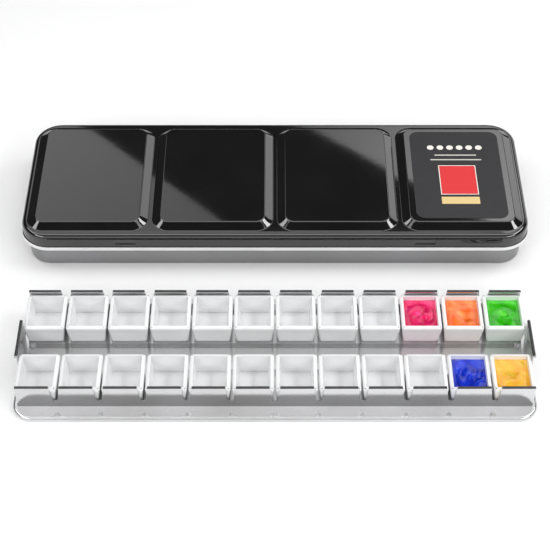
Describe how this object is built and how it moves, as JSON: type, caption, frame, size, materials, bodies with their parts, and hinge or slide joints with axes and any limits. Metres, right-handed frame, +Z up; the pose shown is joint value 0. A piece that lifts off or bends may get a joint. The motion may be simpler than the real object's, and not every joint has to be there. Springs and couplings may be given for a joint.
{
  "type": "watercolor pan set",
  "caption": "Hinged black tin box with a lift-out metal tray whose spring clips hold rows of removable half pans, some of them filled with colour.",
  "frame": {"origin": "middle of the bounding box on the table, with the closed tin behind the tray", "axes": "+X along the tin and the tray, +Y from the tray towards the tin, +Z up from the table"},
  "size_m": [0.2128, 0.159, 0.0207],
  "materials": {
    "black_lacquer": "gloss black enamel outside, white enamel inside and round the rolled hem",
    "label_film": "matte printed film",
    "tinplate": "bright tinplate",
    "tray_steel": "bright rolled tinplate",
    "pin_steel": "plain wire",
    "pan_plastic": "glossy white moulded polystyrene",
    "paint_magenta": "wet-looking poured watercolour",
    "paint_orange": "wet-looking poured watercolour",
    "paint_green": "wet-looking poured watercolour",
    "paint_blue": "wet-looking poured watercolour",
    "paint_yellow": "wet-looking poured watercolour"
  },
  "bodies": {
    "tin_base": {"tin_base": "tinplate", "hinge_pin_left": "pin_steel", "hinge_pin_right": "pin_steel"},
    "lid": {"lid": "black_lacquer", "label": "label_film"},
    "tray": {"tray_plate": "tray_steel", "front_clip_rail": "tray_steel", "rear_clip_rail": "tray_steel"},
    "pan_front_01": {"pan_front_01": "pan_plastic"},
    "pan_front_02": {"pan_front_02": "pan_plastic"},
    "pan_front_03": {"pan_front_03": "pan_plastic"},
    "pan_front_04": {"pan_front_04": "pan_plastic"},
    "pan_front_05": {"pan_front_05": "pan_plastic"},
    "pan_front_06": {"pan_front_06": "pan_plastic"},
    "pan_front_07": {"pan_front_07": "pan_plastic"},
    "pan_front_08": {"pan_front_08": "pan_plastic"},
    "pan_front_09": {"pan_front_09": "pan_plastic"},
    "pan_front_10": {"pan_front_10": "pan_plastic"},
    "pan_front_11": {"pan_front_11": "pan_plastic", "paint_blue": "paint_blue"},
    "pan_front_12": {"pan_front_12": "pan_plastic", "paint_yellow": "paint_yellow"},
    "pan_rear_01": {"pan_rear_01": "pan_plastic"},
    "pan_rear_02": {"pan_rear_02": "pan_plastic"},
    "pan_rear_03": {"pan_rear_03": "pan_plastic"},
    "pan_rear_04": {"pan_rear_04": "pan_plastic"},
    "pan_rear_05": {"pan_rear_05": "pan_plastic"},
    "pan_rear_06": {"pan_rear_06": "pan_plastic"},
    "pan_rear_07": {"pan_rear_07": "pan_plastic"},
    "pan_rear_08": {"pan_rear_08": "pan_plastic"},
    "pan_rear_09": {"pan_rear_09": "pan_plastic"},
    "pan_rear_10": {"pan_rear_10": "pan_plastic", "paint_magenta": "paint_magenta"},
    "pan_rear_11": {"pan_rear_11": "pan_plastic", "paint_orange": "paint_orange"},
    "pan_rear_12": {"pan_rear_12": "pan_plastic", "paint_green": "paint_green"}
  },
  "joints": [
    {"name": "lid_hinge", "type": "hinge", "parent": "tin_base", "child": "lid", "pos_m": [0, 0.0784, 0.01046], "axis": [-1, 0, 0], "range_deg": [0, 180]},
    {"name": "tray_lift", "type": "slide", "parent": "tin_base", "child": "tray", "axis": [0, 0, 1], "range_m": [0, 0.06]},
    {"name": "pan_front_01_release", "type": "slide", "parent": "tray", "child": "pan_front_01", "axis": [0, 0.6428, 0.766], "range_m": [0, 0.009]},
    {"name": "pan_front_02_release", "type": "slide", "parent": "tray", "child": "pan_front_02", "axis": [0, 0.6428, 0.766], "range_m": [0, 0.009]},
    {"name": "pan_front_03_release", "type": "slide", "parent": "tray", "child": "pan_front_03", "axis": [0, 0.6428, 0.766], "range_m": [0, 0.009]},
    {"name": "pan_front_04_release", "type": "slide", "parent": "tray", "child": "pan_front_04", "axis": [0, 0.6428, 0.766], "range_m": [0, 0.009]},
    {"name": "pan_front_05_release", "type": "slide", "parent": "tray", "child": "pan_front_05", "axis": [0, 0.6428, 0.766], "range_m": [0, 0.009]},
    {"name": "pan_front_06_release", "type": "slide", "parent": "tray", "child": "pan_front_06", "axis": [0, 0.6428, 0.766], "range_m": [0, 0.009]},
    {"name": "pan_front_07_release", "type": "slide", "parent": "tray", "child": "pan_front_07", "axis": [0, 0.6428, 0.766], "range_m": [0, 0.009]},
    {"name": "pan_front_08_release", "type": "slide", "parent": "tray", "child": "pan_front_08", "axis": [0, 0.6428, 0.766], "range_m": [0, 0.009]},
    {"name": "pan_front_09_release", "type": "slide", "parent": "tray", "child": "pan_front_09", "axis": [0, 0.6428, 0.766], "range_m": [0, 0.009]},
    {"name": "pan_front_10_release", "type": "slide", "parent": "tray", "child": "pan_front_10", "axis": [0, 0.6428, 0.766], "range_m": [0, 0.009]},
    {"name": "pan_front_11_release", "type": "slide", "parent": "tray", "child": "pan_front_11", "axis": [0, 0.6428, 0.766], "range_m": [0, 0.009]},
    {"name": "pan_front_12_release", "type": "slide", "parent": "tray", "child": "pan_front_12", "axis": [0, 0.6428, 0.766], "range_m": [0, 0.009]},
    {"name": "pan_rear_01_release", "type": "slide", "parent": "tray", "child": "pan_rear_01", "axis": [0, -0.6428, 0.766], "range_m": [0, 0.009]},
    {"name": "pan_rear_02_release", "type": "slide", "parent": "tray", "child": "pan_rear_02", "axis": [0, -0.6428, 0.766], "range_m": [0, 0.009]},
    {"name": "pan_rear_03_release", "type": "slide", "parent": "tray", "child": "pan_rear_03", "axis": [0, -0.6428, 0.766], "range_m": [0, 0.009]},
    {"name": "pan_rear_04_release", "type": "slide", "parent": "tray", "child": "pan_rear_04", "axis": [0, -0.6428, 0.766], "range_m": [0, 0.009]},
    {"name": "pan_rear_05_release", "type": "slide", "parent": "tray", "child": "pan_rear_05", "axis": [0, -0.6428, 0.766], "range_m": [0, 0.009]},
    {"name": "pan_rear_06_release", "type": "slide", "parent": "tray", "child": "pan_rear_06", "axis": [0, -0.6428, 0.766], "range_m": [0, 0.009]},
    {"name": "pan_rear_07_release", "type": "slide", "parent": "tray", "child": "pan_rear_07", "axis": [0, -0.6428, 0.766], "range_m": [0, 0.009]},
    {"name": "pan_rear_08_release", "type": "slide", "parent": "tray", "child": "pan_rear_08", "axis": [0, -0.6428, 0.766], "range_m": [0, 0.009]},
    {"name": "pan_rear_09_release", "type": "slide", "parent": "tray", "child": "pan_rear_09", "axis": [0, -0.6428, 0.766], "range_m": [0, 0.009]},
    {"name": "pan_rear_10_release", "type": "slide", "parent": "tray", "child": "pan_rear_10", "axis": [0, -0.6428, 0.766], "range_m": [0, 0.009]},
    {"name": "pan_rear_11_release", "type": "slide", "parent": "tray", "child": "pan_rear_11", "axis": [0, -0.6428, 0.766], "range_m": [0, 0.009]},
    {"name": "pan_rear_12_release", "type": "slide", "parent": "tray", "child": "pan_rear_12", "axis": [0, -0.6428, 0.766], "range_m": [0, 0.009]}
  ]
}
